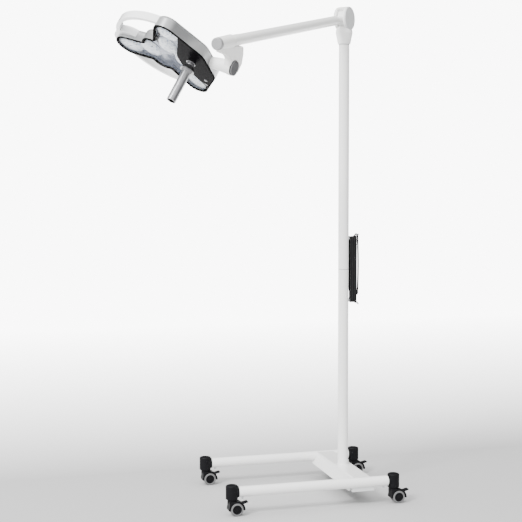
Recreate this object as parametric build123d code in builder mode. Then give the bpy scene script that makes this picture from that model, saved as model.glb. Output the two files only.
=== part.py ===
from build123d import *
import os
from math import asin, cos, radians, sin

# Mobile surgical light: a low base on four twin-wheel castors, a round mast, an arm that swings and
# pitches on a drum joint, an elbow that rolls round the arm, and a three-lobed lamp head that tilts.
# Millimetres, +Z up, origin on the floor under the mast's axis, +X along the base's legs.

os.makedirs("parts", exist_ok=True)

# ---------------------------------------------------------------- driving dimensions
RUN = 0.05  # radial running clearance of a turning fit
GAP = 0.4  # air between faces that move past each other

# base
LEG_X0, LEG_X1 = -528.0, 130.0  # the castors' swivel axes at the two ends of a leg
LEG_Y = 230.0  # legs lie this far either side of the mast
LEG_Z, LEG_R, LEG_WALL = 90.0, 20.0, 2.0
BEAM_TOP, BEAM_LOW, BEAM_WALL = 108.0, 60.0, 4.0
BEAM_TOP_HALF, BEAM_LOW_HALF = 38.0, 57.0
BEAM_END = 228.0
WEIGHT_X, WEIGHT_Y, WEIGHT_Z = 60.0, 154.0, 36.0
PLATE_HALF_X, PLATE_LOW = 45.5, 57.0

# castors
SOCKET_R, SOCKET_LOW, SOCKET_TOP = 23.5, 64.0, 117.0
LEG_INSET = 26.0  # from a swivel axis to the end of the leg's tube
SCREW_INSET = 43.0
STEM_R, STEM_TOP = 5.5, 98.0
TRAIL = 17.0
WHEEL_R, WHEEL_OUTER_FACE = 25.0, 20.5
HOOD_R, POCKET_R, HOOD_HALF, WEB_HALF = 32.0, 26.6, 20.0, 3.0
AXLE_R = 4.0
LEVER_ANGLE, LEVER_PIVOT_R = 42.0, 30.5  # the brake lever's pivot, seen from the axle
LEVER_TIP = (43.0, 26.0)

# mast
MAST_R, MAST_WALL = 21.2, 2.0
MAST_FOOT, MAST_SEAM, MAST_TOP = 66.0, 912.0, 1818.0
HOOK_R, HOOK_BEND_X, HOOK_RISE = 3.5, 47.0, 17.0
HOOK_TOP_Z, HOOK_LOW_Z = 1036.0, 785.5

# cord
CORD_D = 7.0
HANK_X0, HANK_X1, HANK_HALF = 21.4, 61.0, 17.0
GLAND_Z, GLAND_AZIMUTH, GLAND_LENGTH = 560.0, 75.0, 42.0
PLUG_R = 16.5

# joint at the top of the mast
JOINT_Z = 1925.0
DRUM_R, DRUM_HALF, CAVITY_R, CAVITY_HALF = 47.5, 21.0, 38.5, 14.5
CAP_FRONT, CAP_BACK = 6.0, 5.0
SLEEVE_TOP_R, SLEEVE_LOW_R = 34.0, 25.0
SLEEVE_LOW, SLEEVE_WIDE, SLEEVE_TOP = 1823.0, 1868.0, 1887.0
SPINDLE_R, SPINDLE_LOW = 15.0, 1700.0
PIN_R = 8.0
ARM_UP, ARM_DOWN = 30.0, 32.0  # how far the arm rises and drops from level
WINDOW_MARGIN = 21.5  # the neck's half width in the drum's wall, as an angle

# arm, measured along its own axis from the drum's centre
ARM_AZIMUTH, ARM_DROP = 225.0, 12.0
ARM_R, ARM_WALL = 19.0, 2.0
TUBE_START, TUBE_END, COLLAR_END = 98.0, 866.0, 903.0
NECK_R, COLLAR_R, ROLL_R, ROLL_END = 13.0, 20.0, 12.0, 984.0

# elbow, in the arm's frame turned by the roll
ELBOW_ROLL = 16.5
HUB_START, HUB_END, HUB_START_R, HUB_END_R = 912.0, 988.0, 23.5, 21.5
ELBOW_CAP_END, ELBOW_CAP_R = 1004.0, 21.0
TILT_ALONG, TILT_DROP = 886.0, 92.5  # where the tilt axis passes below the arm's line
RING_START, RING_END, RING_R = -3.0, 10.0, 27.0
TILT_CAP_END, TILT_CAP_R = 17.0, 26.5
STRAP_START, STRAP_END = -13.0, 14.0

# head, in its own frame: x away from the barrel, z away from the lit face
HEAD_TILT = 40.0
HEAD_REACH = 76.0  # from the elbow's middle plane to the head's origin
WALL_X = -3.0  # the housing's flat side that the barrel is bolted to
BARREL_THIN, BARREL_THICK, TILT_R = 19.5, 25.5, 12.0
FACE_Z, SHELL_Z, BACK_Z, SHELL, BACK_FILLET = -25.0, -21.5, 22.0, 3.0, 12.0
RIM, GLASS = 6.0, 2.6
SIDE_LOBE_X, SIDE_LOBE_Y, SIDE_LOBE_R = 112.0, 165.0, 43.0
BACK_LOBE_X, BACK_LOBE_Y, BACK_LOBE_R = 62.0, 50.0, 65.0
WAIST_X, WAIST_Y, WAIST_R = 207.0, 48.0, 45.0
END_LOBE_X, END_LOBE_R = 330.0, 54.0
RAIL_CENTRE_X, RAIL_R, RAIL_W = 175.0, 202.0, 14.0
RAIL_LOW, RAIL_TOP, RAIL_TIP, RAIL_END_X = -10.0, 18.0, 398.0, 112.0
BOARD_Z, BOARD_T, LENS_LOW = -6.0, 4.0, -21.0
HANDLE_X, POST_R, POST_END = 71.0, 10.0, -150.0
NECK_LOW, COLLAR_LOW, SHAFT_START, HANDLE_END = -36.0, -57.0, -65.0, -180.0
HANDLE_R, HANDLE_COLLAR_R, COLLAR_NECK_R, COLLAR_EDGE = 16.5, 26.0, 15.0, 2.0
BUTTON_R, BUTTON_ROOT, BUTTON_FACE = 4.0, 15.5, 24.5
POWER_AT, DIM_AT, KEY_R = (50.0, -104.0), (60.0, -135.0), 5.0

# ---------------------------------------------------------------- working frames
joint_point = Vector(0, 0, JOINT_Z)
drum_dir = Vector(1, -1, 0).normalized()
arm_flat = Vector(cos(radians(ARM_AZIMUTH)), sin(radians(ARM_AZIMUTH)), 0)
arm_dir = arm_flat * cos(radians(ARM_DROP)) - Vector(0, 0, 1) * sin(radians(ARM_DROP))
drum_plane = Plane(origin=joint_point, x_dir=arm_flat, z_dir=drum_dir)
arm_plane = Plane(origin=joint_point, x_dir=drum_dir, z_dir=arm_dir)

arm_up = arm_dir.cross(drum_dir)
tilt_dir = drum_dir * cos(radians(ELBOW_ROLL)) - arm_up * sin(radians(ELBOW_ROLL))
elbow_up = arm_up * cos(radians(ELBOW_ROLL)) + drum_dir * sin(radians(ELBOW_ROLL))
tilt_point = joint_point + arm_dir * TILT_ALONG - elbow_up * TILT_DROP
elbow_side = Plane(origin=joint_point, x_dir=arm_dir, z_dir=tilt_dir)  # x along the arm, y downwards

light_dir = arm_dir * sin(radians(HEAD_TILT)) - elbow_up * cos(radians(HEAD_TILT))
head_plane = Plane(origin=tilt_point - tilt_dir * HEAD_REACH, x_dir=tilt_dir * -1, z_dir=light_dir * -1)
tilt_plane = Plane(origin=tilt_point, x_dir=light_dir, z_dir=tilt_dir)
handle_axis = Axis(head_plane.from_local_coords(Vector(HANDLE_X, 0, 0)), light_dir * -1)


# ---------------------------------------------------------------- helpers
def save(shape, name):
    """Labels a finished piece and writes its STEP file."""
    shape.label = name
    export_step(shape, f"parts/{name}.step")


def rod(plane, radius, start, end, mode=Mode.ADD):
    """A round bar along a plane's normal, from start to end, in the current part."""
    with BuildSketch(plane.offset(start)) as section:
        Circle(radius)
    extrude(section.sketch, amount=end - start, mode=mode)


def cone(plane, radius_start, radius_end, start, end, mode=Mode.ADD):
    """A round bar whose radius changes evenly from start to end."""
    with BuildSketch(plane.offset(start)) as near:
        Circle(radius_start)
    with BuildSketch(plane.offset(end)) as far:
        Circle(radius_end)
    loft([near.sketch.face(), far.sketch.face()], mode=mode)


def capsule(start, r_start, end, r_end):
    """Two circles and the tangent strip between them, drawn into the current sketch."""
    a, b = Vector(*start), Vector(*end)
    along = (b - a).normalized()
    across = Vector(-along.Y, along.X)
    lean = asin((r_start - r_end) / (b - a).length)
    left = across * cos(lean) + along * sin(lean)
    right = across * -cos(lean) + along * sin(lean)
    with Locations(a):
        Circle(r_start)
    with Locations(b):
        Circle(r_end)
    corners = [a + left * r_start, b + left * r_end, b + right * r_end, a + right * r_start]
    Polygon(*[(p.X, p.Y) for p in corners], align=None)


def slab(area, low, high, mode=Mode.ADD):
    """A slice of the head over one of its flat areas, from height low to high in the head's frame."""
    extrude(area.moved(Location(head_plane.z_dir * low)), amount=high - low, mode=mode)


with BuildSketch(head_plane) as head_area:
    capsule((BACK_LOBE_X, BACK_LOBE_Y), BACK_LOBE_R, (BACK_LOBE_X, -BACK_LOBE_Y), BACK_LOBE_R)
    for side in (1, -1):
        lobe = (SIDE_LOBE_X, side * SIDE_LOBE_Y)
        capsule((BACK_LOBE_X, side * BACK_LOBE_Y), BACK_LOBE_R, lobe, SIDE_LOBE_R)
        capsule(lobe, SIDE_LOBE_R, (155, side * 70), 42)
    with Locations((135, 0)):
        Rectangle(140, 170)
    capsule((WAIST_X, WAIST_Y), WAIST_R, (WAIST_X, -WAIST_Y), WAIST_R)
    capsule((BACK_LOBE_X + 188, 0), END_LOBE_R, (END_LOBE_X, 0), END_LOBE_R)
    hollow = head_area.vertices().filter_by(lambda v: 190 < v.X < 270 and abs(v.Y) < 95)
    fillet(hollow, radius=8)

with BuildSketch(head_plane) as panel_area:
    Polygon((-40, 160), (62, 160), (120, 24), (120, -24), (62, -160), (-40, -160), align=None)
    fillet(panel_area.vertices().filter_by(lambda v: v.X > 100), radius=14)

whole_face = head_area.sketch.face()
inside_shell, inside_rim, inside_lip = [
    offset(whole_face, amount=-inset, kind=Kind.ARC).face() for inset in (SHELL, RIM, RIM + 4)
]
panel_face = panel_area.sketch.face()


# ---------------------------------------------------------------- base
def leg(name, y):
    """A straight base tube, open at both ends, with a screw hole under each end."""
    along = Plane(origin=(0, y, LEG_Z), x_dir=(0, 1, 0), z_dir=(1, 0, 0))
    with BuildPart() as tube:
        rod(along, LEG_R, LEG_X0 + LEG_INSET, LEG_X1 - LEG_INSET)
        rod(along, LEG_R - LEG_WALL, LEG_X0 + LEG_INSET, LEG_X1 - LEG_INSET, Mode.SUBTRACT)
        for x in (LEG_X0 + SCREW_INSET, LEG_X1 - SCREW_INSET):
            rod(Plane(origin=(x, y, 0)), 2.6, LEG_Z - LEG_R - 1, LEG_Z, Mode.SUBTRACT)
    save(tube.part, name)


leg("leg_front", -LEG_Y)
leg("leg_rear", LEG_Y)

with BuildPart() as crossmember:
    with BuildSketch(Plane.XZ) as hat:
        low = BEAM_LOW_HALF
        top = BEAM_TOP_HALF
        Polygon((-top, BEAM_TOP), (top, BEAM_TOP), (low, BEAM_LOW), (-low, BEAM_LOW), align=None)
        fillet(hat.vertices().group_by(Axis.Y)[-1], radius=9)
    extrude(amount=BEAM_END, both=True)
    with BuildSketch(Plane.XZ) as hollow:
        low = BEAM_LOW_HALF - BEAM_WALL
        top = BEAM_TOP_HALF - BEAM_WALL
        roof = BEAM_TOP - BEAM_WALL
        Polygon((-top, roof), (top, roof), (low, BEAM_LOW), (-low, BEAM_LOW), align=None)
        fillet(hollow.vertices().group_by(Axis.Y)[-1], radius=5)
    extrude(amount=BEAM_END, both=True, mode=Mode.SUBTRACT)
    rod(Plane.XY, MAST_R, BEAM_TOP - BEAM_WALL - 5, BEAM_TOP + 5, Mode.SUBTRACT)
    for y in (-LEG_Y, LEG_Y):
        across = Plane(origin=(0, y, LEG_Z), x_dir=(0, 1, 0), z_dir=(1, 0, 0))
        rod(across, LEG_R, -80, 80, Mode.SUBTRACT)
save(crossmember.part, "crossmember")

with BuildPart() as base_weights:
    for side in (1, -1):
        with Locations((0, side * (MAST_R + 8 + WEIGHT_Y / 2), BEAM_TOP - BEAM_WALL - WEIGHT_Z / 2)):
            Box(WEIGHT_X, WEIGHT_Y, WEIGHT_Z)
    chamfer(base_weights.edges().filter_by(Axis.Z), length=3)
save(base_weights.part, "base_weights")

plate_bolts = [(x, side * (LEG_Y - dy)) for side in (1, -1) for x, dy in ((-34, 20), (0, 26), (34, 20))]
with BuildPart() as leg_plates:
    for side in (1, -1):
        with Locations((0, side * (LEG_Y - 14), PLATE_LOW + 9)):
            Box(2 * PLATE_HALF_X, 48, 18)
    for y in (-LEG_Y, LEG_Y):
        across = Plane(origin=(0, y, LEG_Z), x_dir=(0, 1, 0), z_dir=(1, 0, 0))
        rod(across, LEG_R, -80, 80, Mode.SUBTRACT)
    for x, y in plate_bolts:
        rod(Plane(origin=(x, y, 0)), 3.1, PLATE_LOW, PLATE_LOW + 14, Mode.SUBTRACT)
save(leg_plates.part, "leg_plates")

with BuildPart() as base_bolts:
    for x, y in plate_bolts:
        at = Plane(origin=(x, y, 0))
        rod(at, 5.0, PLATE_LOW - 5, PLATE_LOW)
        rod(at, 3.0, PLATE_LOW, PLATE_LOW + 12)
        with BuildSketch(at.offset(PLATE_LOW - 5)) as drive:
            RegularPolygon(2.6, 6)
        extrude(drive.sketch, amount=3, mode=Mode.SUBTRACT)
save(base_bolts.part, "base_bolts")

# ---------------------------------------------------------------- castors
corners = {
    "front_left": (LEG_X0, -LEG_Y, 1),
    "rear_left": (LEG_X0, LEG_Y, 1),
    "front_right": (LEG_X1, -LEG_Y, -1),
    "rear_right": (LEG_X1, LEG_Y, -1),
}

with BuildPart() as castor_sockets:
    for x, y, _ in corners.values():
        rod(Plane(origin=(x, y, 0)), SOCKET_R, SOCKET_LOW, SOCKET_TOP)
    fillet(castor_sockets.edges().filter_by(GeomType.CIRCLE).group_by(Axis.Z)[-1], radius=5)
    fillet(castor_sockets.edges().filter_by(GeomType.CIRCLE).group_by(Axis.Z)[0], radius=2)
    for x, y, inward in corners.values():
        at = Plane(origin=(x, y, 0))
        to_leg = Plane(origin=(x, y, LEG_Z), x_dir=(0, 1, 0), z_dir=(inward, 0, 0))
        rod(to_leg, LEG_R + 1, 10, LEG_INSET)
        rod(to_leg, LEG_R - LEG_WALL, LEG_INSET, LEG_INSET + 30)
        rod(at, STEM_R + RUN, SOCKET_LOW, STEM_TOP + 2, Mode.SUBTRACT)
        screw = Plane(origin=(x + inward * SCREW_INSET, y, 0))
        rod(screw, 2.4, LEG_Z - LEG_R - 1, LEG_Z - 10, Mode.SUBTRACT)
save(castor_sockets.part, "castor_sockets")

with BuildPart() as socket_screws:
    for x, y, inward in corners.values():
        at = Plane(origin=(x + inward * SCREW_INSET, y, LEG_Z - LEG_R))
        rod(at, 4.2, -7, -1)
        rod(at, 2.4, -1, 9)
save(socket_screws.part, "socket_screws")


def castor(corner, x, y):
    """One twin-wheel castor: the braked fork with its axle, the brake lever and two wheels."""
    side = Plane(origin=(x + TRAIL, y, WHEEL_R), x_dir=(1, 0, 0), z_dir=(0, -1, 0))
    pivot = Vector(LEVER_PIVOT_R * cos(radians(LEVER_ANGLE)), LEVER_PIVOT_R * sin(radians(LEVER_ANGLE)), 0)
    lever_plane = Plane(origin=side.from_local_coords(pivot), x_dir=(1, 0, 0), z_dir=(0, -1, 0))
    axle_line = Axis((x + TRAIL, y, WHEEL_R), (0, 1, 0))

    with BuildPart() as fork:
        with BuildSketch(side) as hood:
            Circle(HOOD_R)
            with Locations((-17.5, 14)):
                Rectangle(25, 38)
            with Locations((0, -30)):
                Rectangle(80, 54, mode=Mode.SUBTRACT)
        extrude(hood.sketch, amount=HOOD_HALF, both=True)
        rod(Plane(origin=(x, y, 0)), 17, 50, SOCKET_LOW - 0.6)
        rod(side, POCKET_R, WEB_HALF, HOOD_HALF + 1, Mode.SUBTRACT)
        rod(side, POCKET_R, -HOOD_HALF - 1, -WEB_HALF, Mode.SUBTRACT)
        rod(side, 9, -WEB_HALF, WEB_HALF)
        rod(side, AXLE_R, -WHEEL_OUTER_FACE + 1, WHEEL_OUTER_FACE - 1)
        rod(Plane(origin=(x, y, 0)), STEM_R, SOCKET_LOW - 1, STEM_TOP)
        with BuildSketch(side) as slot:
            with Locations(pivot * (1 + 1 / LEVER_PIVOT_R)):
                Rectangle(11.5, 11, rotation=LEVER_ANGLE)
        extrude(slot.sketch, amount=13, both=True, mode=Mode.SUBTRACT)
        rod(lever_plane, 2 + RUN, -17, 17, Mode.SUBTRACT)
    save(fork.part, f"castor_{corner}_fork")

    tip = Vector(LEVER_TIP[0] - pivot.X, LEVER_TIP[1] - pivot.Y)
    with BuildPart() as lever:
        rod(lever_plane, 3.8, -12.6, 12.6)
        rod(lever_plane, 2, -16.6, 16.6)
        with BuildSketch(lever_plane) as pedal:
            capsule((0, 0), 2.4, (tip.X, tip.Y), 1.8)
        extrude(pedal.sketch, amount=12, both=True)
    save(lever.part, f"castor_{corner}_brake_lever")

    flat = Plane(origin=(x + TRAIL, y, WHEEL_R))
    bore = AXLE_R + RUN
    for name, facing in (("outer", -1), ("inner", 1)):
        profile = [(bore, 4), (9, 4), (9, 8), (16.5, 8), (16.5, 4), (22, 4), (25, 7)]
        profile += [(25, 17.5), (22, 20.5), (18.5, 20.5), (18, 18), (8, 17), (7, 19.3), (bore, 19.3)]
        with BuildPart() as wheel:
            with BuildSketch(flat) as section:
                Polygon(*[(r, facing * w) for r, w in profile], align=None)
            revolve(section.sketch, axis=axle_line)
        save(wheel.part, f"castor_{corner}_wheel_{name}")


for corner, (x, y, _) in corners.items():
    castor(corner, x, y)

# ---------------------------------------------------------------- mast
with BuildPart() as mast_lower:
    rod(Plane.XY, MAST_R, MAST_FOOT, MAST_SEAM)
    rod(Plane.XY, MAST_R - MAST_WALL, MAST_FOOT, MAST_SEAM, Mode.SUBTRACT)
save(mast_lower.part, "mast_lower")

with BuildPart() as mast_upper:
    rod(Plane.XY, MAST_R, MAST_SEAM, MAST_TOP)
    rod(Plane.XY, MAST_R - MAST_WALL, MAST_SEAM, MAST_TOP, Mode.SUBTRACT)
save(mast_upper.part, "mast_upper")

with BuildPart() as mast_joiner:
    rod(Plane.XY, MAST_R - MAST_WALL, MAST_SEAM - 50, MAST_SEAM + 50)
    rod(Plane.XY, MAST_R - 2 * MAST_WALL, MAST_SEAM - 50, MAST_SEAM + 50, Mode.SUBTRACT)
save(mast_joiner.part, "mast_joiner")

with BuildPart() as swivel_bush:
    rod(Plane.XY, MAST_R - MAST_WALL, SPINDLE_LOW + 20, MAST_TOP)
    rod(Plane.XY, MAST_R, MAST_TOP, SLEEVE_LOW - GAP)
    rod(Plane.XY, SPINDLE_R + RUN, SPINDLE_LOW, SLEEVE_LOW, Mode.SUBTRACT)
save(swivel_bush.part, "swivel_bush")

# ---------------------------------------------------------------- cord hooks and cord
hook_lines = {HOOK_TOP_Z: HOOK_RISE, HOOK_LOW_Z: -HOOK_RISE}


def hook(z, rise, radius, mode=Mode.ADD):
    """A bent round rod standing out from the mast, its tip turned up or down."""
    bend = Vector(HOOK_BEND_X, 0, z)
    tip = bend + Vector(abs(rise), 0, rise)
    root = Vector(MAST_R - 1, 0, z)
    rod(Plane(origin=root, z_dir=(1, 0, 0)), radius, 0, (bend - root).length, mode)
    rod(Plane(origin=bend, z_dir=tip - bend), radius, 0, (tip - bend).length, mode)
    with Locations(bend, tip):
        Sphere(radius, mode=mode)


with BuildPart() as cord_hooks:
    for z, rise in hook_lines.items():
        hook(z, rise, HOOK_R)
    rod(Plane.XY, MAST_R, HOOK_LOW_Z - 10, HOOK_TOP_Z + 10, Mode.SUBTRACT)
save(cord_hooks.part, "cord_hooks")

with BuildPart() as cord_hank:
    middle = (HOOK_TOP_Z + HOOK_LOW_Z) / 2
    span = HOOK_TOP_Z - HOOK_LOW_Z + 2 * HANK_HALF
    with BuildSketch(Plane.YZ.offset(HANK_X0)) as winding:
        with Locations((0, middle)):
            SlotOverall(span, HANK_HALF * 2, rotation=90)
            SlotOverall(span - 27, 8, rotation=90, mode=Mode.SUBTRACT)
    extrude(amount=HANK_X1 - HANK_X0)
    fillet(cord_hank.edges().group_by(Axis.X)[-1], radius=3)
    for z, rise in hook_lines.items():
        hook(z, rise, HOOK_R + 0.3, Mode.SUBTRACT)
save(cord_hank.part, "cord_hank")

gland_out = Vector(cos(radians(GLAND_AZIMUTH)), sin(radians(GLAND_AZIMUTH)), 0)
gland_dir = (gland_out + Vector(0, 0, 1)).normalized()
gland_root = gland_out * (MAST_R - 4) + Vector(0, 0, GLAND_Z)
gland_plane = Plane(origin=gland_root, z_dir=gland_dir)
with BuildPart() as cord_gland:
    rod(gland_plane, 11, -8, 14)
    cone(gland_plane, 8.5, 4.8, 14, GLAND_LENGTH)
    rod(Plane.XY, MAST_R, GLAND_Z - 50, GLAND_Z + 50, Mode.SUBTRACT)
    rod(gland_plane, CORD_D / 2, 0, GLAND_LENGTH + 1, Mode.SUBTRACT)
save(cord_gland.part, "cord_gland")


def cord_run(points, name, cut):
    """A round cord along straight runs joined by tangent arcs, trimmed where it enters the hank."""
    runs = [b - a for a, b in zip(points, points[1:])]
    bends = []
    for before, after in zip(runs, runs[1:]):
        half_turn = radians(before.get_angle(after)) / 2
        bends.append(0.45 * min(before.length, after.length) * cos(half_turn) / sin(half_turn))
    print(name, "bend radii", [round(bend, 1) for bend in bends])
    with BuildPart() as cord:
        with BuildLine() as path:
            FilletPolyline(*points, radius=bends)
        with BuildSketch(Plane(origin=points[0], z_dir=runs[0])):
            Circle(CORD_D / 2)
        sweep(path=path.wires()[0])
        add(cut, mode=Mode.SUBTRACT)
    save(cord.part, name)


lead_in = [gland_root + gland_dir * 16, gland_root + gland_dir * 66]
lead_in += [Vector(16, 66, 664), Vector(15, 60, 722), Vector(20, 38, 772), Vector(26, 12, 822)]
cord_run(lead_in, "cord_lead_in", cord_hank.part)

hang_x, hang_y = 28, 81
lead_out = [Vector(55, 11, 905), Vector(55, 11, 966), Vector(46.8, 32.3, 989)]
lead_out += [Vector(35.2, 62.3, 989), Vector(hang_x, hang_y, 966), Vector(hang_x, hang_y, 918)]
cord_run(lead_out, "cord_lead_out", cord_hank.part)

with BuildPart() as cord_plug:
    hang = Plane(origin=(hang_x, hang_y, 918))
    rod(hang, PLUG_R, -48, -14)
    fillet(cord_plug.edges(), radius=4)
    cone(hang, 11, 5.5, -14, 6)
    rod(hang, CORD_D / 2, 0, 7, Mode.SUBTRACT)
    with BuildSketch(hang.offset(-67)):
        with Locations((-9.5, 0), (9.5, 0)):
            Circle(2.4)
    extrude(amount=20)
save(cord_plug.part, "cord_plug")

# ---------------------------------------------------------------- swivel column and drum
with BuildPart() as column_sleeve:
    cone(Plane.XY, SLEEVE_LOW_R, SLEEVE_TOP_R, SLEEVE_LOW, SLEEVE_WIDE)
    cone(Plane.XY, SLEEVE_TOP_R, SLEEVE_TOP_R - 2, SLEEVE_WIDE, SLEEVE_TOP)
    rod(drum_plane, DRUM_R, -60, 60, Mode.SUBTRACT)
    rod(Plane.XY, SPINDLE_R, SPINDLE_LOW, SLEEVE_LOW)
save(column_sleeve.part, "column_sleeve")

window_up = ARM_UP + WINDOW_MARGIN
window_down = ARM_DOWN + WINDOW_MARGIN
with BuildPart() as drum_body:
    rod(drum_plane, DRUM_R, -DRUM_HALF, DRUM_HALF)
    rod(drum_plane, CAVITY_R, -CAVITY_HALF, CAVITY_HALF, Mode.SUBTRACT)
    with BuildSketch(drum_plane.offset(-CAVITY_HALF)) as window:
        reach = 90
        rays = [(reach * cos(radians(a)), reach * sin(radians(a))) for a in (-window_up, 0, window_down)]
        Polygon((0, 0), *rays, align=None)
    extrude(amount=2 * CAVITY_HALF, mode=Mode.SUBTRACT)
    rod(drum_plane, PIN_R, -DRUM_HALF, DRUM_HALF, Mode.SUBTRACT)
save(drum_body.part, "drum_body")

with BuildPart() as drum_caps:
    rod(drum_plane, DRUM_R - 0.6, DRUM_HALF, DRUM_HALF + CAP_FRONT)
    fillet(drum_caps.edges().sort_by(Axis(joint_point, drum_dir))[-1], radius=3)
    rod(drum_plane, DRUM_R - 0.6, -DRUM_HALF - CAP_BACK, -DRUM_HALF)
    fillet(drum_caps.edges().sort_by(Axis(joint_point, drum_dir))[0], radius=3)
save(drum_caps.part, "drum_caps")

with BuildPart() as pivot_pin:
    rod(drum_plane, PIN_R, -DRUM_HALF, DRUM_HALF)
save(pivot_pin.part, "pivot_pin")

# ---------------------------------------------------------------- arm
with BuildPart() as arm_root:
    rod(drum_plane, CAVITY_R - 1.5, -CAVITY_HALF + 1, CAVITY_HALF - 1)
    rod(arm_plane, NECK_R, 20, TUBE_START - 10)
    rod(arm_plane, ARM_R, TUBE_START - 12, TUBE_START)
    shoulder = arm_root.edges().filter_by(GeomType.CIRCLE).filter_by(lambda e: abs(e.radius - ARM_R) < 0.1)
    fillet(shoulder, radius=1.5)
    rod(arm_plane, ARM_R - ARM_WALL, TUBE_START, TUBE_START + 40)
    rod(drum_plane, PIN_R + RUN, -DRUM_HALF, DRUM_HALF, Mode.SUBTRACT)
save(arm_root.part, "arm_root")

with BuildPart() as arm_tube:
    rod(arm_plane, ARM_R, TUBE_START, TUBE_END)
    rod(arm_plane, ARM_R - ARM_WALL, TUBE_START, TUBE_END, Mode.SUBTRACT)
save(arm_tube.part, "arm_tube")

with BuildPart() as arm_spring:
    rod(arm_plane, 12, 170, 780)
    rod(arm_plane, ARM_R - ARM_WALL, 160, 170)
    rod(arm_plane, ARM_R - ARM_WALL, 780, 790)
    rod(arm_plane, 9, 150, 800, Mode.SUBTRACT)
save(arm_spring.part, "arm_spring")

with BuildPart() as arm_collar:
    rod(arm_plane, COLLAR_R, TUBE_END, COLLAR_END)
    chamfer(arm_collar.edges().filter_by(GeomType.CIRCLE), length=1)
    rod(arm_plane, ARM_R - ARM_WALL, TUBE_END - 40, TUBE_END)
    rod(arm_plane, ROLL_R, COLLAR_END, ROLL_END)
save(arm_collar.part, "arm_collar")

with BuildPart() as roll_washer:
    rod(arm_plane, 17, COLLAR_END, HUB_START - GAP)
    rod(arm_plane, ROLL_R, COLLAR_END - 1, HUB_START, Mode.SUBTRACT)
save(roll_washer.part, "roll_washer")

# ---------------------------------------------------------------- elbow
strap_corners = [(984, 6), (976, 31), (926, 47), (912, 60), (912, 95), (886, 119), (852, 110)]
strap_corners += [(832, 84), (831, 50), (838, 23), (905, 10)]
with BuildPart() as elbow:
    with BuildSketch(elbow_side.offset(STRAP_START)) as strap:
        Polygon(*strap_corners, align=None)
        fillet(strap.vertices().filter_by(lambda v: v.Y > 12), radius=9)
    extrude(amount=STRAP_END - STRAP_START)
    fillet(elbow.faces().sort_by(Axis(joint_point, tilt_dir))[-1].edges(), radius=2.5)
    rod(tilt_plane, RING_R, RING_START, RING_END)
    cone(arm_plane, HUB_START_R, HUB_END_R, HUB_START, HUB_END)
    rod(arm_plane, COLLAR_R + 1.6, 780, HUB_START, Mode.SUBTRACT)
    rod(tilt_plane, RING_R + 1.5, -30, RING_START, Mode.SUBTRACT)
    rod(tilt_plane, RING_R + 1.5, RING_END, 30, Mode.SUBTRACT)
    rod(arm_plane, ROLL_R + RUN, HUB_START - 1, ROLL_END + GAP, Mode.SUBTRACT)
    rod(tilt_plane, TILT_R + RUN, -30, 30, Mode.SUBTRACT)
save(elbow.part, "elbow")

with BuildPart() as elbow_cap:
    rod(arm_plane, ELBOW_CAP_R - 1.5, HUB_END, HUB_END + 3)
    rod(arm_plane, ELBOW_CAP_R, HUB_END + 3, ELBOW_CAP_END)
    fillet(elbow_cap.edges().sort_by(Axis(joint_point, arm_dir))[-1], radius=3)
save(elbow_cap.part, "elbow_cap")

with BuildPart() as tilt_cap:
    rod(tilt_plane, TILT_CAP_R, RING_END, TILT_CAP_END)
    fillet(tilt_cap.edges().sort_by(Axis(tilt_point, tilt_dir))[-1], radius=3)
save(tilt_cap.part, "tilt_cap")

# ---------------------------------------------------------------- lamp head
with BuildPart() as tilt_barrel:
    cone(tilt_plane, BARREL_THIN, BARREL_THICK, -HEAD_REACH - WALL_X, RING_START - GAP)
    rod(tilt_plane, TILT_R, RING_START - GAP, RING_END - GAP)
save(tilt_barrel.part, "tilt_barrel")

head_back = Axis(head_plane.origin, head_plane.z_dir)
with BuildPart() as head_cavity:
    slab(inside_shell, SHELL_Z, BACK_Z - SHELL)
    fillet(head_cavity.faces().sort_by(head_back)[-1].edges(), radius=BACK_FILLET - SHELL)

with BuildPart() as head_housing:
    slab(whole_face, SHELL_Z, BACK_Z)
    fillet(head_housing.faces().sort_by(head_back)[-1].edges(), radius=BACK_FILLET)
    filled_head = head_housing.part.solid()
    add(head_cavity.part, mode=Mode.SUBTRACT)
save(head_housing.part, "head_housing")

with BuildPart() as face_frame:
    slab(whole_face, FACE_Z, SHELL_Z)
    slab(inside_shell, SHELL_Z, SHELL_Z + 2)
    slab(inside_rim, FACE_Z, SHELL_Z, Mode.SUBTRACT)
    slab(inside_lip, SHELL_Z, SHELL_Z + 2, Mode.SUBTRACT)
save(face_frame.part, "face_frame")

with BuildPart() as front_glass:
    slab(inside_rim, SHELL_Z - GLASS, SHELL_Z)
    slab(panel_face, SHELL_Z - GLASS, SHELL_Z, Mode.SUBTRACT)
save(front_glass.part, "front_glass")

handle_plane = Plane(origin=handle_axis.position, x_dir=head_plane.x_dir, z_dir=head_plane.z_dir)
with BuildPart() as control_panel:
    slab(inside_rim, FACE_Z, SHELL_Z)
    slab(panel_face, FACE_Z, SHELL_Z, Mode.INTERSECT)
    rod(handle_plane, NECK_R + RUN, FACE_Z, SHELL_Z, Mode.SUBTRACT)
    with BuildSketch(head_plane.offset(FACE_Z)):
        with Locations(POWER_AT, DIM_AT):
            Circle(KEY_R + RUN)
    extrude(amount=SHELL_Z - FACE_Z, mode=Mode.SUBTRACT)
save(control_panel.part, "control_panel")

with BuildPart() as led_board:
    slab(inside_shell, BOARD_Z, BOARD_Z + BOARD_T)
    rod(handle_plane, 24, BOARD_Z, 0, Mode.SUBTRACT)
save(led_board.part, "led_board")

lenses = [(327, 0, 37), (243, 0, 40), (150, 52, 32), (150, -52, 32), (112, 158, 32), (112, -158, 32)]
with BuildPart() as lens_modules:
    for x, y, radius in lenses:
        at = Plane(origin=head_plane.from_local_coords(Vector(x, y, 0)), z_dir=head_plane.z_dir)
        cone(at, radius, 0.62 * radius, LENS_LOW + 1, BOARD_Z)
save(lens_modules.part, "lens_modules")

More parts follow.
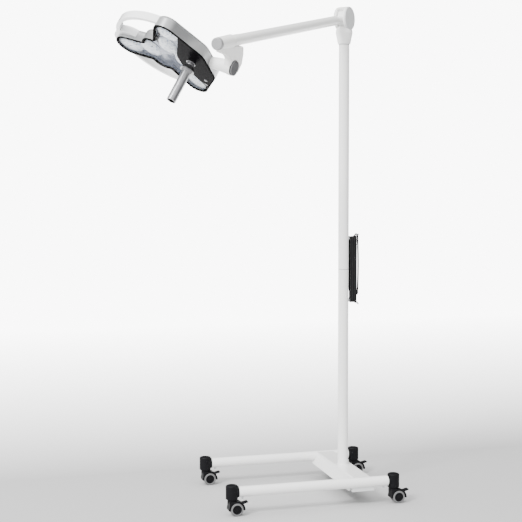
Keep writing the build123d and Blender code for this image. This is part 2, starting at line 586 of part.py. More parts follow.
with BuildPart() as grip_rails:
    with BuildSketch(head_plane.offset(RAIL_LOW)) as rails:
        with Locations((RAIL_CENTRE_X, 0)):
            Circle(RAIL_R)
            Circle(RAIL_R - RAIL_W, mode=Mode.SUBTRACT)
        with Locations((RAIL_END_X - 200, 0)):
            Rectangle(400, 500, mode=Mode.SUBTRACT)
        with Locations((END_LOBE_X, 0)):
            Circle(RAIL_TIP - END_LOBE_X)
    extrude(amount=RAIL_TOP - RAIL_LOW)
    add(filled_head, mode=Mode.SUBTRACT)
save(grip_rails.part, "grip_rails")

# ---------------------------------------------------------------- handle and keys
with BuildPart() as handle_core:
    rod(handle_plane, NECK_R, NECK_LOW, SHELL_Z)
    rod(handle_plane, 20, SHELL_Z + GAP, SHELL_Z + 5)
    rod(handle_plane, NECK_R, SHELL_Z, SHELL_Z + 5)
    rod(handle_plane, POST_R, POST_END, NECK_LOW)
save(handle_core.part, "handle_core")

BUTTON_Z = (NECK_LOW + COLLAR_LOW) / 2
button_plane = Plane(
    origin=head_plane.from_local_coords(Vector(HANDLE_X, 0, BUTTON_Z)),
    x_dir=head_plane.z_dir,
    z_dir=head_plane.y_dir * -1,
)
with BuildPart() as handle_sleeve:
    cone(handle_plane, HANDLE_COLLAR_R, COLLAR_NECK_R, COLLAR_LOW + COLLAR_EDGE, NECK_LOW - GAP)
    rod(handle_plane, HANDLE_COLLAR_R, COLLAR_LOW, COLLAR_LOW + COLLAR_EDGE)
    brim = handle_sleeve.edges().filter_by(GeomType.CIRCLE).filter_by(lambda e: e.radius > HANDLE_COLLAR_R - 0.1)
    fillet(brim, radius=0.8)
    cone(handle_plane, HANDLE_R, HANDLE_COLLAR_R - 5, SHAFT_START, COLLAR_LOW)
    rod(handle_plane, HANDLE_R, HANDLE_END, SHAFT_START)
    rod(handle_plane, HANDLE_R - 3, HANDLE_END, HANDLE_END + 14, Mode.SUBTRACT)
    rod(handle_plane, POST_R + RUN, POST_END - GAP, NECK_LOW, Mode.SUBTRACT)
    rod(button_plane, BUTTON_R + RUN, BUTTON_ROOT - 3.5, 40, Mode.SUBTRACT)
save(handle_sleeve.part, "handle_sleeve")

with BuildPart() as sleeve_button:
    rod(button_plane, BUTTON_R, BUTTON_ROOT, BUTTON_FACE)
save(sleeve_button.part, "sleeve_button")

for name, (x, y) in (("power_button", POWER_AT), ("dim_button", DIM_AT)):
    with BuildPart() as key:
        at = Plane(origin=head_plane.from_local_coords(Vector(x, y, 0)), z_dir=head_plane.z_dir)
        rod(at, KEY_R, FACE_Z - 1.2, SHELL_Z - 0.5)
    save(key.part, name)
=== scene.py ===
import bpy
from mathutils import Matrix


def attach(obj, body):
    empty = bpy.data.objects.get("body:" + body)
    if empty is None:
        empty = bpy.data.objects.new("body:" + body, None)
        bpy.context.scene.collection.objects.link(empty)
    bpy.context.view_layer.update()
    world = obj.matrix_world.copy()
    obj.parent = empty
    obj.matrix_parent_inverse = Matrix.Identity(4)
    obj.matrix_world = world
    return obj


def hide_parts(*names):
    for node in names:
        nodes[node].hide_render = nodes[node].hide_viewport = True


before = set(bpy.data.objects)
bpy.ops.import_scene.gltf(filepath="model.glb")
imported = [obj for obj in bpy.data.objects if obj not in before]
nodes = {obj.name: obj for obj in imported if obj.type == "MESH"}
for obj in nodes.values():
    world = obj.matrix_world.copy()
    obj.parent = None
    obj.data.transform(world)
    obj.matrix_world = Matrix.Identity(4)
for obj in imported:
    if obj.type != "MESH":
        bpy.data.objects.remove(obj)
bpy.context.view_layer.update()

from math import cos, pi, radians, sin

import bmesh
import bpy
from mathutils import Matrix, Vector

MM = 0.001

# ---------------------------------------------------------------- camera
CAMERA_PLACE, CAMERA_PITCH, CAMERA_TURN = (-1.5393, -4.2846, 1.2515), 87.213, -15.525
FOCAL, FRAME_SHIFT = 76.844, -0.0402
camera = bpy.data.objects.new("camera", bpy.data.cameras.new("camera"))
bpy.context.scene.collection.objects.link(camera)
camera.location = CAMERA_PLACE
camera.rotation_euler = (radians(CAMERA_PITCH), 0, radians(CAMERA_TURN))
camera.data.sensor_width = 36
camera.data.lens = FOCAL
camera.data.shift_y = FRAME_SHIFT
camera.data.clip_end = 60
bpy.context.scene.camera = camera


# ---------------------------------------------------------------- materials
def material(name, color, rough, metal=0.0, vary=0.06, scale=90.0, bump=0.08, grain=900.0, stretch=None,
             coat=0.0, coat_rough=0.1, specular=0.5, alpha=1.0):
    """A surface with slow colour drift, and a fine grain in roughness and bump."""
    m = bpy.data.materials.new(name)
    m.use_nodes = True
    tree = m.node_tree
    shader = tree.nodes["Principled BSDF"]
    shader.inputs["Metallic"].default_value = metal
    shader.inputs["Coat Weight"].default_value = coat
    shader.inputs["Coat Roughness"].default_value = coat_rough
    shader.inputs["Specular IOR Level"].default_value = specular
    shader.inputs["Alpha"].default_value = alpha
    coords = tree.nodes.new("ShaderNodeTexCoord")
    place = tree.nodes.new("ShaderNodeMapping")
    place.inputs["Scale"].default_value = stretch or (1, 1, 1)
    tree.links.new(coords.outputs["Object"], place.inputs["Vector"])
    drift = tree.nodes.new("ShaderNodeTexNoise")
    drift.inputs["Scale"].default_value = scale / 10
    drift.inputs["Detail"].default_value = 4
    tree.links.new(place.outputs[0], drift.inputs["Vector"])
    fine = tree.nodes.new("ShaderNodeTexNoise")
    fine.inputs["Scale"].default_value = grain
    fine.inputs["Detail"].default_value = 3
    tree.links.new(place.outputs[0], fine.inputs["Vector"])
    tint = tree.nodes.new("ShaderNodeMix")
    tint.data_type = "RGBA"
    dark = [max(0, c * (1 - vary)) for c in color]
    light = [min(1, c * (1 + vary * 0.4)) for c in color]
    tint.inputs["A"].default_value = (*dark, 1)
    tint.inputs["B"].default_value = (*light, 1)
    tree.links.new(drift.outputs["Fac"], tint.inputs["Factor"])
    tree.links.new(tint.outputs["Result"], shader.inputs["Base Color"])
    gloss = tree.nodes.new("ShaderNodeMapRange")
    gloss.inputs["To Min"].default_value = rough * 0.85
    gloss.inputs["To Max"].default_value = min(1, rough * 1.15)
    tree.links.new(fine.outputs["Fac"], gloss.inputs["Value"])
    tree.links.new(gloss.outputs[0], shader.inputs["Roughness"])
    relief = tree.nodes.new("ShaderNodeBump")
    relief.inputs["Strength"].default_value = bump
    relief.inputs["Distance"].default_value = 0.0004
    tree.links.new(fine.outputs["Fac"], relief.inputs["Height"])
    tree.links.new(relief.outputs["Normal"], shader.inputs["Normal"])
    return m


def lens_material():
    """Moulded lens: packed small facets, bluish white with painted sparkle (each facet painted lighter or
    darker), with sparse dark chips behind.
    """
    m = material("moulded_lens", (0.80, 0.86, 0.93), 0.20, vary=0.2, scale=400, coat=0.2, coat_rough=0.05)
    tree = m.node_tree
    shader = tree.nodes["Principled BSDF"]
    coords = tree.nodes["Texture Coordinate"]
    facets = tree.nodes.new("ShaderNodeTexVoronoi")
    facets.inputs["Scale"].default_value = 190
    facets.inputs["Randomness"].default_value = 0.55
    chips = tree.nodes.new("ShaderNodeTexVoronoi")
    chips.inputs["Scale"].default_value = 46
    chips.inputs["Randomness"].default_value = 0.9
    for cells in (facets, chips):
        tree.links.new(coords.outputs["Object"], cells.inputs["Vector"])
    # painted sparkle: facets coloured from dark blue to white for how each catches the light; the blue tint
    # is the lens's own
    facet_sparkle_tone = tree.nodes.new("ShaderNodeValToRGB")
    facet_sparkle_tone.color_ramp.elements[0].color = (0.34, 0.43, 0.60, 1)
    facet_sparkle_tone.color_ramp.elements[1].color = (0.90, 0.95, 1.0, 1)
    facet_sparkle_tone.color_ramp.elements[0].position = 0.10
    facet_sparkle_tone.color_ramp.elements[1].position = 0.50
    tree.links.new(facets.outputs["Color"], facet_sparkle_tone.inputs["Fac"])
    spot = tree.nodes.new("ShaderNodeValToRGB")
    spot.color_ramp.elements[0].position = 0.12
    spot.color_ramp.elements[1].position = 0.16
    spot.color_ramp.elements[0].color = (0.02, 0.02, 0.025, 1)
    spot.color_ramp.elements[1].color = (1, 1, 1, 1)
    tree.links.new(chips.outputs["Distance"], spot.inputs["Fac"])
    both = tree.nodes.new("ShaderNodeMix")
    both.data_type = "RGBA"
    both.blend_type = "MULTIPLY"
    both.inputs["Factor"].default_value = 1
    tree.links.new(facet_sparkle_tone.outputs["Color"], both.inputs["A"])
    tree.links.new(spot.outputs["Color"], both.inputs["B"])
    tree.links.new(both.outputs["Result"], shader.inputs["Base Color"])
    relief = tree.nodes["Bump"]
    relief.inputs["Strength"].default_value = 0.8
    relief.inputs["Distance"].default_value = 0.0015
    tree.links.new(facets.outputs["Distance"], relief.inputs["Height"])
    return m


def brushed(name, color, rough, stretch):
    """Brushed metal: the grain is drawn out along one direction."""
    return material(name, color, rough, metal=0.92, vary=0.12, scale=300, bump=0.18, grain=600,
                    stretch=stretch)


white = material("white_coat", (0.86, 0.86, 0.85), 0.30, vary=0.025, scale=40, bump=0.10, grain=1400,
                 coat=0.15)
grey = material("grey_coat", (0.62, 0.63, 0.63), 0.38, vary=0.04, scale=60, bump=0.16, grain=1500)
lacquer = material("head_lacquer", (0.87, 0.875, 0.88), 0.20, vary=0.02, scale=30, bump=0.03, coat=0.5,
                   coat_rough=0.06)
silver = material("head_silver", (0.32, 0.325, 0.33), 0.32, metal=0.85, vary=0.04, scale=40, bump=0.05,
                  grain=1500, coat=0.25, coat_rough=0.12)
elbow_coat = material("elbow_coat", (0.86, 0.855, 0.84), 0.34, vary=0.03, scale=50, bump=0.12, grain=1500)
satin = brushed("satin_steel", (0.27, 0.27, 0.28), 0.30, (1, 1, 0.05))
zinc = material("zinc_plate", (0.72, 0.73, 0.75), 0.24, metal=1, vary=0.10, scale=400, bump=0.10)
iron = material("raw_casting", (0.13, 0.13, 0.135), 0.75, metal=0.4, vary=0.3, scale=250, bump=0.6, grain=420)
black = material("black_moulding", (0.006, 0.006, 0.007), 0.42, vary=0.3, scale=120, bump=0.22, grain=1100,
                 specular=0.08)
# near-black with almost no reflection: the face frame's own black, and painted shade on the fin ticks
rim_black_and_fin_shade = material("rim_black_and_fin_shade", (0.002, 0.002, 0.0022), 0.5, vary=0.3, scale=120, bump=0.12, specular=0.004)
dark = material("dark_moulding", (0.045, 0.045, 0.048), 0.42, vary=0.2, scale=120, bump=0.18, grain=1100,
                specular=0.15)
cap_grey = material("cap_moulding", (0.27, 0.27, 0.275), 0.42, vary=0.08, scale=90, bump=0.18, grain=1200)
tread = material("grey_tread", (0.13, 0.13, 0.132), 0.62, vary=0.14, scale=160, bump=0.30, grain=700)
gloss_black = material("gloss_panel", (0.0045, 0.0040, 0.0050), 0.24, vary=0.5, scale=60, bump=0.01,
                       specular=0.006)
key_skin = material("key_cap", (0.10, 0.10, 0.115), 0.25, vary=0.1, bump=0.05)
sheath = material("cord_sheath", (0.008, 0.008, 0.009), 0.45, vary=0.35, scale=300, bump=0.25, grain=1300,
                  specular=0.2)
reflector = material("reflector", (0.25, 0.28, 0.35), 0.24, metal=0.35, vary=0.14, scale=70, bump=0.02,
                     coat=0.2)
# painted shade: near-black for the shaded gaps between the lenses
gap_painted_shade = material("tray_gap_shade", (0.02, 0.02, 0.022), 0.5, vary=0.2, specular=0.1)
clear = material("clear_cover", (0.05, 0.055, 0.06), 0.03, vary=0.01, bump=0.0, specular=0.8, alpha=0.05)
lens_skin = lens_material()
weld = material("weld_bead", (0.80, 0.80, 0.79), 0.40, vary=0.08, scale=900, bump=0.5, grain=260)


# ---------------------------------------------------------------- mesh helpers
def frame_at(origin, x, z):
    """A matrix with its origin in millimetres, its x and z axes as given."""
    z = Vector(z).normalized()
    x = Vector(x)
    x = (x - z * x.dot(z)).normalized()
    y = z.cross(x)
    m = Matrix((x, y, z)).transposed().to_4x4()
    m.translation = Vector(origin) * MM
    return m


def mesh_piece(name, verts, faces, mat, body, at, smooth=True, bevel=0.0, angle=40):
    """A piece from points in millimetres in the frame at; it rides on a body."""
    mesh = bpy.data.meshes.new(name)
    mesh.from_pydata([Vector(v) * MM for v in verts], [], faces)
    work = bmesh.new()
    work.from_mesh(mesh)
    bmesh.ops.remove_doubles(work, verts=work.verts, dist=1e-6)
    bmesh.ops.recalc_face_normals(work, faces=work.faces)
    work.to_mesh(mesh)
    work.free()
    mesh.validate()
    obj = bpy.data.objects.new(name, mesh)
    bpy.context.scene.collection.objects.link(obj)
    obj.matrix_world = at
    mesh.materials.append(mat)
    for poly in mesh.polygons:
        poly.use_smooth = smooth
    if bevel:
        soften(obj, bevel, angle)
    if smooth:
        mesh.set_sharp_from_angle(angle=radians(angle))
    bpy.context.view_layer.update()
    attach(obj, body)
    return obj


def soften(obj, width, angle):
    """A small rounded edge on every sharp corner."""
    mod = obj.modifiers.new("edge", "BEVEL")
    mod.width = width * MM
    mod.segments = 2
    mod.limit_method = "ANGLE"
    mod.angle_limit = radians(angle)


def lathe(name, profile, mat, body, at, steps=64):
    """A turned piece: profile is (radius, height) in millimetres about the frame's z axis."""
    verts, faces = [], []
    for i in range(steps):
        t = 2 * pi * i / steps
        verts += [(r * cos(t), r * sin(t), h) for r, h in profile]
    n = len(profile)
    for i in range(steps):
        j = (i + 1) % steps
        for k in range(n):
            m = (k + 1) % n
            faces.append((i * n + k, j * n + k, j * n + m, i * n + m))
    return mesh_piece(name, verts, faces, mat, body, at, angle=30)


def prism(name, points, low, high, mat, body, at, bevel):
    """A flat-ended piece over an outline of (x, y) points in millimetres."""
    n = len(points)
    verts = [(x, y, low) for x, y in points] + [(x, y, high) for x, y in points]
    faces = [tuple(range(n)), tuple(range(n, 2 * n))]
    faces += [(i, (i + 1) % n, n + (i + 1) % n, n + i) for i in range(n)]
    return mesh_piece(name, verts, faces, mat, body, at, bevel=bevel)


def dress(names, mat, bevel=0.0):
    """Gives carried-over CAD nodes their material and, where it helps, rounded edges."""
    for name in names:
        obj = nodes[name]
        obj.data.materials.clear()
        obj.data.materials.append(mat)
        if bevel:
            soften(obj, bevel, 35)


def circle_points(cx, cy, rx, ry, count, turn=0.0):
    """Points round an ellipse."""
    out = []
    for i in range(count):
        t = 2 * pi * i / count
        x, y = rx * cos(t), ry * sin(t)
        out.append((cx + x * cos(turn) - y * sin(turn), cy + x * sin(turn) + y * cos(turn)))
    return out


# ---------------------------------------------------------------- the power cord
CORD_D = 0.007
lead_in = [(7.38, 27.54, 571.3), (16.53, 61.69, 606.7), (16, 66, 664), (15, 60, 722), (20, 38, 772),
           (25.6, 12.5, 822)]
FIRST_X, PITCH, TURNS = 25.2, 7.05, 5
HOOK_TOP, HOOK_LOW, HOOK_BEND = 1036.0, 785.5, 47.0
BEND_RISE, BEND_GROWTH = 8.0, 0.12  # height of a turn over a hook, and its growth along the hook's bent end
OVER_HOOK = (12, 52, 90, 128, 168)  # degrees round each hook
sway = [(0.0, 0.0), (0.2, 0.9), (0.0, 0.2), (0.3, 1.6), (1.6, 3.2)]  # each turn's slack: sideways, outwards
route = list(lead_in)
for k in range(TURNS):
    up_x = FIRST_X + PITCH * k
    down_x = up_x + PITCH / 2
    side, out = sway[k]
    last = k == TURNS - 1
    for z, amount in ((872, 0.6), (936, 1.0), (1000, 0.5)):
        route.append((up_x + 0.3 * side, 12 + out * amount * 0.6, z))
    lift = max(0.0, down_x - HOOK_BEND)
    for turn in OVER_HOOK:
        t = radians(turn)
        x = up_x + (down_x - up_x) * turn / 180
        route.append((x, 13 * cos(t), HOOK_TOP + lift + (BEND_RISE + BEND_GROWTH * lift) * sin(t)))
    for z, amount in ((1002, 0.5), (950, 1.0), (890, 0.9), (838, 0.4)):
        route.append((down_x + side * amount, -12 - out * amount, z))
    drop = max(0.0, down_x - HOOK_BEND)
    for turn in OVER_HOOK:
        t = radians(turn)
        x = down_x + PITCH / 2 * turn / 180
        if last:
            route.append((down_x + 1.2 * sin(t), -13.5 * cos(t) + 1.5 * turn / 180, 822 - 15 * sin(t)))
        else:
            route.append((x, -13 * cos(t), HOOK_LOW - drop - (BEND_RISE + BEND_GROWTH * drop) * sin(t)))
route += [(57.6, 18.0, 864), (56.6, 18.6, 912), (54.6, 18.4, 958), (46.8, 32.5, 989), (35.2, 62.3, 989)]
route += [(28, 81, 966), (28, 81, 919)]

curve = bpy.data.curves.new("power_cord", "CURVE")
curve.dimensions = "3D"
spline = curve.splines.new("NURBS")
spline.points.add(len(route) - 1)
for point, (x, y, z) in zip(spline.points, route):
    point.co = (x * MM, y * MM, z * MM, 1)
spline.order_u = 3
spline.use_endpoint_u = True
spline.resolution_u = 8
curve.bevel_depth = CORD_D / 2
curve.bevel_resolution = 5
curve.use_fill_caps = True
curve.materials.append(sheath)
cord = bpy.data.objects.new("power_cord", curve)
bpy.context.scene.collection.objects.link(cord)
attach(cord, "stand")
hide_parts("cord_lead_in", "cord_hank", "cord_lead_out")

# ---------------------------------------------------------------- carried-over CAD nodes
CORNERS = ("front_left", "rear_left", "front_right", "rear_right")
dress(["leg_front", "leg_rear", "mast_lower", "mast_upper", "arm_tube", "arm_root"], white)
dress(["crossmember", "column_sleeve", "drum_body", "arm_collar", "tilt_barrel"], white, 0.8)
dress(["leg_plates"], grey, 0.8)
dress(["castor_sockets"], black, 0.8)
dress(["elbow"], elbow_coat, 0.8)
dress(["base_weights"], iron, 1.0)
dress(["base_bolts", "socket_screws", "cord_hooks", "mast_joiner", "pivot_pin", "arm_spring"], zinc, 0.3)
dress(["swivel_bush"], grey)
dress(["drum_caps"], grey, 0.6)
dress(["elbow_cap"], cap_grey, 0.6)
dress(["tilt_cap", "sleeve_button"], dark, 0.6)
dress(["roll_washer"], black, 0.3)
dress(["face_frame"], rim_black_and_fin_shade)
dress(["head_housing"], silver)
dress(["grip_rails"], lacquer)
dress(["control_panel"], gloss_black)
dress(["front_glass"], clear)
dress(["led_board", "lens_modules"], reflector)
dress(["handle_core", "handle_sleeve"], satin)
dress(["power_button", "dim_button"], key_skin, 0.4)
dress(["cord_gland", "cord_plug"], sheath, 0.4)
dress([f"castor_{c}_{p}" for c in CORNERS for p in ("fork", "brake_lever")], black, 0.8)
dress([f"castor_{c}_wheel_{w}" for c in CORNERS for w in ("outer", "inner")], tread)

# ---------------------------------------------------------------- working frames, as the CAD's
HANDLE_X = 71.0
JOINT_Z, ARM_AZIMUTH, ARM_DROP = 1925.0, radians(225), radians(12)
ELBOW_ROLL, HEAD_TILT = radians(16.5), radians(40)
TILT_ALONG, TILT_SINK, HEAD_REACH = 886.0, 92.5, 76.0
up = Vector((0, 0, 1))
drum_dir = Vector((1, -1, 0)).normalized()
arm_dir = Vector((cos(ARM_AZIMUTH), sin(ARM_AZIMUTH), 0)) * cos(ARM_DROP) - up * sin(ARM_DROP)
arm_up = arm_dir.cross(drum_dir)
tilt_dir = drum_dir * cos(ELBOW_ROLL) - arm_up * sin(ELBOW_ROLL)
elbow_up = arm_up * cos(ELBOW_ROLL) + drum_dir * sin(ELBOW_ROLL)
joint_point = Vector((0, 0, JOINT_Z))
tilt_point = joint_point + arm_dir * TILT_ALONG - elbow_up * TILT_SINK
light_dir = arm_dir * sin(HEAD_TILT) - elbow_up * cos(HEAD_TILT)
arm_at = frame_at(joint_point, drum_dir, arm_dir)
tilt_at = frame_at(tilt_point, light_dir, tilt_dir)
head_at = frame_at(tilt_point - tilt_dir * HEAD_REACH, -tilt_dir, -light_dir)
handle_at = head_at @ Matrix.Translation((HANDLE_X * MM, 0, 0))

# ---------------------------------------------------------------- lamp head: outline
LOBES = [((62, 50), 65, (62, -50), 65), ((207, 48), 45, (207, -48), 45), ((250, 0), 54, (330, 0), 54),
         ((62, 0), 65, (207, 0), 60)]
for s in (1, -1):
    LOBES += [((62, s * 50), 65, (112, s * 165), 43), ((112, s * 165), 43, (155, s * 70), 42)]
CENTRE = (150.0, 0.0)
STEPS = 24


def depth(x, y):
    """How far inside the head's outline a point lies, in millimetres; negative outside."""
    best = -1e9
    for (ax, ay), ra, (bx, by), rb in LOBES:
        for i in range(STEPS + 1):
            t = i / STEPS
            gap = ra + t * (rb - ra) - ((x - ax - t * (bx - ax)) ** 2 + (y - ay - t * (by - ay)) ** 2) ** 0.5
            best = max(best, gap)
    return best


def outline(inset, count=200):
    """Points of the head's outline, shrunk by inset, going round from its +x side."""
    out = []
    for i in range(count):
        t = 2 * pi * i / count
        near, far = 0.0, 300.0
        while far - near > 0.05:
            mid = (near + far) / 2
            if depth(CENTRE[0] + mid * cos(t), CENTRE[1] + mid * sin(t)) > inset:
                near = mid
            else:
                far = mid
        out.append((CENTRE[0] + near * cos(t), CENTRE[1] + near * sin(t)))
    return out


# ---------------------------------------------------------------- lamp head: reflector tray, painted shade (fin ticks, gaps) and lenses
TRAY_Z, WALL_Z, FACE_Z = -9.0, -20.8, -25.0
TRAY_INSET, WALL_INSET, VANE_INSET, LENS_INSET = 6.4, 6.3, 6.2, 6.8
TRAY_RISE, TRAY_RINGS = 4, 14
DISH_X, DISH_Y, DISH_RX, DISH_RY, DISH_DEPTH = 166, -56, 46, 52, 7  # the hollow between the lenses
edge = outline(TRAY_INSET)
verts, faces = [(CENTRE[0], CENTRE[1], TRAY_Z)], []
n = len(edge)
for ring in range(1, TRAY_RINGS + 1):
    s = ring / TRAY_RINGS
    for x, y in edge:
        px, py = CENTRE[0] + (x - CENTRE[0]) * s, CENTRE[1] + (y - CENTRE[1]) * s
        dish = max(0.0, 1 - ((px - DISH_X) / DISH_RX) ** 2 - ((py - DISH_Y) / DISH_RY) ** 2)
        verts.append((px, py, TRAY_Z - TRAY_RISE * (1 - s) + DISH_DEPTH * dish ** 1.5))
faces += [(0, 1 + i, 1 + (i + 1) % n) for i in range(n)]
for ring in range(TRAY_RINGS - 1):
    a, b = 1 + ring * n, 1 + (ring + 1) * n
    faces += [(a + i, b + i, b + (i + 1) % n, a + (i + 1) % n) for i in range(n)]
tray = mesh_piece("reflector_tray", verts, faces, reflector, "head", head_at)
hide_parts("led_board")

wall = outline(WALL_INSET, 240)
verts = [(x, y, z) for x, y in wall for z in (WALL_Z, TRAY_Z + 1.5)]
n = len(wall)
faces = [(2 * i, 2 * ((i + 1) % n), 2 * ((i + 1) % n) + 1, 2 * i + 1) for i in range(n)]
mesh_piece("tray_wall", verts, faces, reflector, "head", head_at)

RIM_STEPS = 1440
VANE_RIM = outline(VANE_INSET, RIM_STEPS)
VANE_IN, VANE_LEAN, VANE_FOOT, VANE_TIP = 10.0, 6.0, 2.2, 1.0
VANE_LOW, VANE_HIGH = -24.7, -24.2
VANE_SPANS = {"end": (5, 21.5, 9), "side": (97, 115, 6)}  # degrees round the outline, and how many


def fin_shade_tick_row(name, start, stop, count):
    """Slanted black slivers against the cover, evenly spaced along the rim and standing in from it: painted
    shade for the shaded sides of the tray wall's fins.
    """
    per_degree = RIM_STEPS / 360
    run = [Vector(p) for p in VANE_RIM[round(start * per_degree):round(stop * per_degree) + 1]]
    travel = [0.0]
    for a, b in zip(run, run[1:]):
        travel.append(travel[-1] + (b - a).length)
    verts, faces = [], []
    for i in range(count):
        at = next(k for k, far in enumerate(travel) if far >= travel[-1] * i / count)
        foot = run[at]
        along = (run[at + 1] - foot).normalized()
        tip = foot + Vector((-along.y, along.x)) * VANE_IN + along * VANE_LEAN
        base = len(verts)
        for z in (VANE_LOW, VANE_HIGH):
            for p, w in ((foot, VANE_FOOT), (tip, VANE_TIP)):
                for side in (-w, w):
                    verts.append((*(p + along * side), z))
        faces += [tuple(base + k for k in f) for f in
                  ((0, 1, 3, 2), (4, 6, 7, 5), (0, 2, 6, 4), (1, 5, 7, 3), (0, 4, 5, 1), (2, 3, 7, 6))]
    return mesh_piece(name, verts, faces, rim_black_and_fin_shade, "head", head_at, smooth=False)


# painted shade: rows of black ticks where the tray wall's fins lie in shade
for label, (start, stop, count) in VANE_SPANS.items():
    fin_shade_tick_row(f"fin_shade_ticks_{label}", start, stop, count)

LENS_Z, LENS_RISE, LENS_LIP = -20.6, 6.5, 2.5
LENSES = {  # centre, half axes and turn in degrees
    "end": (334, 0, 51, 50, 0), "waist": (242, 10, 42, 50, 0), "upper": (110, 152, 42, 46, 12),
    "upper_inner": (150, 60, 36, 50, 12), "mid": (128, -18, 20, 36, 8), "lower": (105, -146, 42, 54, -12),
}
for label, (cx, cy, rx, ry, turn) in LENSES.items():
    verts, faces = [(cx, cy, LENS_Z)], []
    count, layers = 72, 9
    for layer in range(1, layers + 1):
        s = layer / layers
        for x, y in circle_points(cx, cy, rx * s, ry * s, count, radians(turn)):
            while depth(x, y) < LENS_INSET:
                x, y = x + (cx - x) * 0.03, y + (cy - y) * 0.03
            verts.append((x, y, LENS_Z + LENS_RISE * s ** 2.4 + (LENS_LIP if layer == layers else 0)))
    faces += [(0, 1 + i, 1 + (i + 1) % count) for i in range(count)]
    for layer in range(layers - 1):
        a, b = 1 + layer * count, 1 + (layer + 1) * count
        faces += [(a + i, b + i, b + (i + 1) % count, a + (i + 1) % count) for i in range(count)]
    skin = mesh_piece(f"lens_{label}", verts, faces, lens_skin, "head", head_at, angle=60)
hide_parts("lens_modules")

# painted shade: thin dark sheets laid over the tray in the gaps between the lenses, where it lies in shade
SHADED_GAPS = {"upper": [(136, 182), (156, 140), (166, 112), (150, 128), (146, 160)],
        "corner": [(160, 112), (180, 84), (172, 74), (186, 60), (190, 84), (176, 112)]}
for label, points in SHADED_GAPS.items():
    prism(f"tray_gap_shade_{label}", points, TRAY_Z - 5.2, TRAY_Z - 4.4, gap_painted_shade, "head", head_at,
          bevel=0)

# ---------------------------------------------------------------- lamp head: panel and handle trim
SOCKET_RING = [(14.8, FACE_Z), (17.4, FACE_Z), (17.2, -26.2), (16.2, -26.9), (14.8, -26.9)]
NECK = [(13.05, -25.2), (14.2, -25.2), (14.2, -33.6), (13.8, -35.2), (13.05, -35.8)]
KEY_RING = [(5.2, FACE_Z), (6.6, FACE_Z), (6.4, -25.5), (5.3, -25.5)]
END_CAP = [(10.4, -166.5), (13.3, -166.5), (13.3, -178.6), (12.4, -179.6), (10.4, -176)]
lathe("handle_socket_ring", SOCKET_RING, satin, "head", handle_at)
lathe("handle_neck", NECK, satin, "handle", handle_at)
for label, (x, y) in {"power": (50, -104), "dim": (60, -135)}.items():
    ring_at = head_at @ Matrix.Translation((x * MM, y * MM, 0))
    lathe(f"key_ring_{label}", KEY_RING, satin, "head", ring_at, steps=32)
lathe("handle_end_cap", END_CAP, black, "sleeve", handle_at)

# ---------------------------------------------------------------- joints' trim
ELBOW_RING = [(20.2, 988.2), (21.6, 988.2), (21.9, 989.4), (21.6, 990.6), (20.2, 990.6)]
TILT_RIM = [(25.4, 16.2), (26.3, 16.2), (26.3, 17.6), (25.6, 17.9)]
FOOT_WELD = [(21.2, 107.6), (25.0, 108.0), (23.4, 109.6), (21.2, 112.4)]
MAST_SEAM = [(21.15, 911.3), (21.35, 911.3), (21.35, 912.7), (21.15, 912.7)]
HOOK_BOSS = [(3.55, 20.2), (8, 20.2), (8, 22.4), (6.8, 23.4), (3.55, 23.4)]
stand_at = frame_at((0, 0, 0), (1, 0, 0), (0, 0, 1))
lathe("elbow_cap_ring", ELBOW_RING, white, "elbow_joint", arm_at)
lathe("tilt_cap_rim", TILT_RIM, cap_grey, "elbow_joint", tilt_at)
lathe("mast_foot_weld", FOOT_WELD, weld, "stand", stand_at, steps=96)
lathe("mast_seam", MAST_SEAM, dark, "stand", stand_at)
for label, z in (("top", HOOK_TOP), ("low", HOOK_LOW)):
    hook_at = frame_at((0, 0, z), (0, 0, 1), (1, 0, 0))
    lathe(f"hook_boss_{label}", HOOK_BOSS, zinc, "stand", hook_at, steps=40)

# ---------------------------------------------------------------- castor wheels
TYRE = [(17.8, 4.2), (22.4, 4.2), (24.3, 5.6), (25, 8.2), (25, 16.4), (24.3, 19), (22.4, 20.4), (18.5, 20.4),
        (17.8, 19.7)]
HUB = [(4.1, 4.4), (17.8, 4.4), (17.8, 19.0), (16.6, 19.0), (15.4, 17.4), (9.4, 17.0), (8.6, 19.4),
       (5.4, 20.0), (4.1, 20.0)]
HUB_RIB, HUB_RIBS = [(9, -0.9), (16, -0.9), (16, 0.9), (9, 0.9)], 5
LEG_X0, LEG_X1, LEG_Y, TRAIL, WHEEL_R = -528.0, 130.0, 230.0, 17.0, 25.0
for corner in CORNERS:
    x = LEG_X0 if corner.endswith("left") else LEG_X1
    y = -LEG_Y if corner.startswith("front") else LEG_Y
    for which, facing in (("outer", -1), ("inner", 1)):
        at = frame_at((x + TRAIL, y, WHEEL_R), (1, 0, 0), (0, facing, 0))
        body = f"wheel_{corner}_{which}"
        tyre = lathe(f"tyre_{corner}_{which}", TYRE, tread, body, at, steps=72)
        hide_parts(f"castor_{corner}_wheel_{which}")
        lathe(f"hub_{corner}_{which}", HUB, black, body, at, steps=48)
        for i in range(HUB_RIBS):
            rib_at = at @ Matrix.Rotation(2 * pi * i / HUB_RIBS, 4, "Z")
            prism(f"hub_rib_{corner}_{which}_{i}", HUB_RIB, 16.6, 18.4, black, body, rib_at,
                  bevel=0.3)

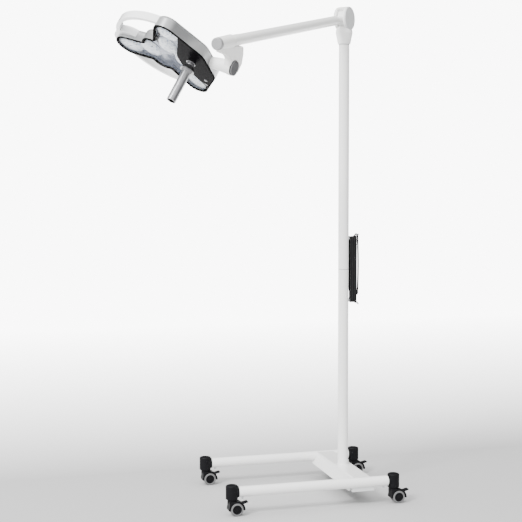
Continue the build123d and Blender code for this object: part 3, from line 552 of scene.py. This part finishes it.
# ---------------------------------------------------------------- stage and light
BACKDROP, FLOOR_GLOW, GLOW_FROM, GLOW_FULL = 9.0, 8.0, 0.5, 5.5
DIM_SIDE, BRIGHT_SIDE, DIM_AT, BRIGHT_AT = 0.04, 3.0, -0.25, 0.9
bpy.ops.mesh.primitive_plane_add(size=30, location=(0, 0, 0))
floor = bpy.context.object
floor.name = "floor"
floor_skin = material("floor", (0.50, 0.50, 0.50), 0.6, vary=0.01, scale=5, bump=0.0)
floor_tree = floor_skin.node_tree
floor_tree.nodes["Principled BSDF"].inputs["Emission Color"].default_value = (1, 1, 1, 1)
apart = floor_tree.nodes.new("ShaderNodeSeparateXYZ")
floor_tree.links.new(floor_tree.nodes["Texture Coordinate"].outputs["Object"], apart.inputs[0])
sweep = floor_tree.nodes.new("ShaderNodeMapRange")
sweep.inputs["From Min"].default_value = GLOW_FROM
sweep.inputs["From Max"].default_value = GLOW_FULL
sweep.inputs["To Max"].default_value = FLOOR_GLOW
floor_tree.links.new(apart.outputs["Y"], sweep.inputs["Value"])
floor_tree.links.new(sweep.outputs["Result"], floor_tree.nodes["Principled BSDF"].inputs["Emission Strength"])
floor.data.materials.append(floor_skin)

world = bpy.data.worlds.new("studio")
world.use_nodes = True
links = world.node_tree.links
sky = world.node_tree.nodes["Background"]
sky.inputs["Color"].default_value = (1, 1, 1, 1)
bearing = world.node_tree.nodes.new("ShaderNodeTexCoord")
facing = world.node_tree.nodes.new("ShaderNodeVectorMath")
facing.operation = "DOT_PRODUCT"
facing.inputs[1].default_value = Vector((-0.42, -0.45, 0.79)).normalized()
links.new(bearing.outputs["Generated"], facing.inputs[0])
spread = world.node_tree.nodes.new("ShaderNodeMapRange")
spread.interpolation_type = "SMOOTHSTEP"
spread.inputs["From Min"].default_value = DIM_AT
spread.inputs["From Max"].default_value = BRIGHT_AT
spread.inputs["To Min"].default_value = DIM_SIDE
spread.inputs["To Max"].default_value = BRIGHT_SIDE
links.new(facing.outputs["Value"], spread.inputs["Value"])
seen = world.node_tree.nodes.new("ShaderNodeLightPath")
level = world.node_tree.nodes.new("ShaderNodeMix")
level.inputs["B"].default_value = BACKDROP
links.new(seen.outputs["Is Camera Ray"], level.inputs["Factor"])
links.new(spread.outputs["Result"], level.inputs["A"])
links.new(level.outputs["Result"], sky.inputs["Strength"])
bpy.context.scene.world = world


def area_light(name, place, aim, size, power):
    light = bpy.data.lights.new(name, "AREA")
    light.shape = "SQUARE"
    light.size = size
    light.energy = power
    obj = bpy.data.objects.new(name, light)
    bpy.context.scene.collection.objects.link(obj)
    obj.location = place
    obj.rotation_euler = (Vector(aim) - Vector(place)).to_track_quat("-Z", "Y").to_euler()


area_light("key", (-4.2, -3.0, 4.8), (-0.2, -0.2, 0.9), 1.6, 500)
